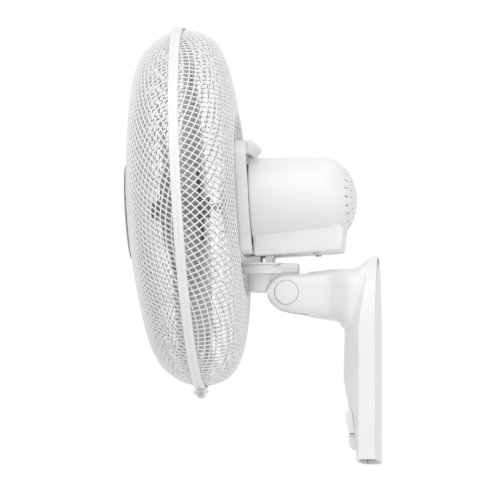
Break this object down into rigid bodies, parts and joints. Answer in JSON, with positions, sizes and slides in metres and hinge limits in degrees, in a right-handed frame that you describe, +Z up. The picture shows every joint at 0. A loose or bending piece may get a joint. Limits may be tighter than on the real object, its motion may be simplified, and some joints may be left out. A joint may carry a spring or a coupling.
{
  "type": "wall mounted fan",
  "caption": "Wall mounted fan with an arm, tilting and oscillating motor head, wire guards, a grey bladed wheel and press keys on the base.",
  "frame": {"origin": "centre of the wall plate's back face, on the wall plane", "axes": "+Y out of the back of the wall plate into the wall, the fan faces -Y, +Z up, +X to the right of someone who looks at its front"},
  "size_m": [0.44, 0.3069, 0.5276],
  "materials": {
    "white_plastic": "satin moulded",
    "white_wire": "powder coated wire",
    "grey_blade": "smooth moulded",
    "dark_plastic": "matt moulded",
    "grey_plastic": "matt moulded",
    "zinc_steel": "zinc plated",
    "cast_aluminium": "die cast",
    "copper_wire": "enamelled winding"
  },
  "bodies": {
    "wall_base": {"base_shell": "white_plastic", "wall_plate": "grey_plastic", "wall_screw_1": "zinc_steel", "wall_screw_2": "zinc_steel", "wall_screw_3": "zinc_steel", "wall_screw_4": "zinc_steel", "terminal_block": "dark_plastic", "cable_gland": "dark_plastic", "switch_block": "dark_plastic", "key_shaft": "zinc_steel", "control_panel": "white_plastic", "tilt_bolt": "zinc_steel", "tilt_nut": "zinc_steel", "friction_washer_1": "dark_plastic", "friction_washer_2": "dark_plastic", "pivot_cap_right": "white_plastic", "pivot_cap_left": "white_plastic"},
    "key_off": {"key_off": "white_plastic"},
    "key_low": {"key_low": "white_plastic"},
    "key_medium": {"key_medium": "white_plastic"},
    "key_high": {"key_high": "white_plastic"},
    "key_swing": {"key_swing": "white_plastic"},
    "neck": {"neck": "white_plastic", "oscillation_motor": "zinc_steel"},
    "crank": {"oscillation_crank": "zinc_steel"},
    "head": {"turntable": "dark_plastic", "motor_front_cover": "white_plastic", "motor_rear_cover": "white_plastic", "cover_screw_1": "zinc_steel", "cover_screw_2": "zinc_steel", "front_bracket": "cast_aluminium", "rear_bracket": "cast_aluminium", "front_bearing": "zinc_steel", "rear_bearing": "zinc_steel", "stator_core": "zinc_steel", "stator_winding_1": "copper_wire", "stator_winding_2": "copper_wire", "run_capacitor": "dark_plastic", "rear_guard": "white_wire", "front_guard": "white_wire", "guard_band": "white_plastic", "band_clip": "white_plastic", "clip_screw": "zinc_steel", "front_guard_cap": "white_plastic", "guard_lock_nut": "white_plastic"},
    "rotor_set": {"motor_shaft": "zinc_steel", "rotor": "cast_aluminium", "fan_wheel": "grey_blade", "wheel_nut": "grey_blade"}
  },
  "joints": [
    {"name": "press_off", "type": "hinge", "parent": "wall_base", "child": "key_off", "pos_m": [-0.0314, -0.019, -0.0906], "axis": [1, 0, 0], "range_deg": [0, 6], "stiffness_Nm_per_rad": 0.5, "springref_deg": -4.01},
    {"name": "press_low", "type": "hinge", "parent": "wall_base", "child": "key_low", "pos_m": [-0.0157, -0.019, -0.0906], "axis": [1, 0, 0], "range_deg": [0, 6], "stiffness_Nm_per_rad": 0.5, "springref_deg": -4.01},
    {"name": "press_medium", "type": "hinge", "parent": "wall_base", "child": "key_medium", "pos_m": [0, -0.019, -0.0906], "axis": [1, 0, 0], "range_deg": [0, 6], "stiffness_Nm_per_rad": 0.5, "springref_deg": -4.01},
    {"name": "press_high", "type": "hinge", "parent": "wall_base", "child": "key_high", "pos_m": [0.0157, -0.019, -0.0906], "axis": [1, 0, 0], "range_deg": [0, 6], "stiffness_Nm_per_rad": 0.5, "springref_deg": -4.01},
    {"name": "press_swing", "type": "hinge", "parent": "wall_base", "child": "key_swing", "pos_m": [0.0314, -0.019, -0.0906], "axis": [1, 0, 0], "range_deg": [0, 6], "stiffness_Nm_per_rad": 0.5, "springref_deg": -4.01},
    {"name": "tilt", "type": "hinge", "parent": "wall_base", "child": "neck", "pos_m": [0, -0.1099, 0.0796], "axis": [1, 0, 0], "range_deg": [0, 30]},
    {"name": "crank_turn", "type": "hinge", "parent": "neck", "child": "crank", "pos_m": [0, -0.1302, 0.104], "axis": [0, 0, 1], "range_deg": [-130, 130]},
    {"name": "oscillate", "type": "hinge", "parent": "neck", "child": "head", "pos_m": [0, -0.1392, 0.113], "axis": [0, 0, 1], "range_deg": [-40, 40]},
    {"name": "wheel_spin", "type": "hinge", "parent": "head", "child": "rotor_set", "pos_m": [0, -0.2279, 0.1833], "axis": [0, 0.9983, 0.0576], "continuous": true}
  ],
  "couplings": [
    {"joint": "crank_turn", "follows": "oscillate", "ratio": 3.25}
  ]
}
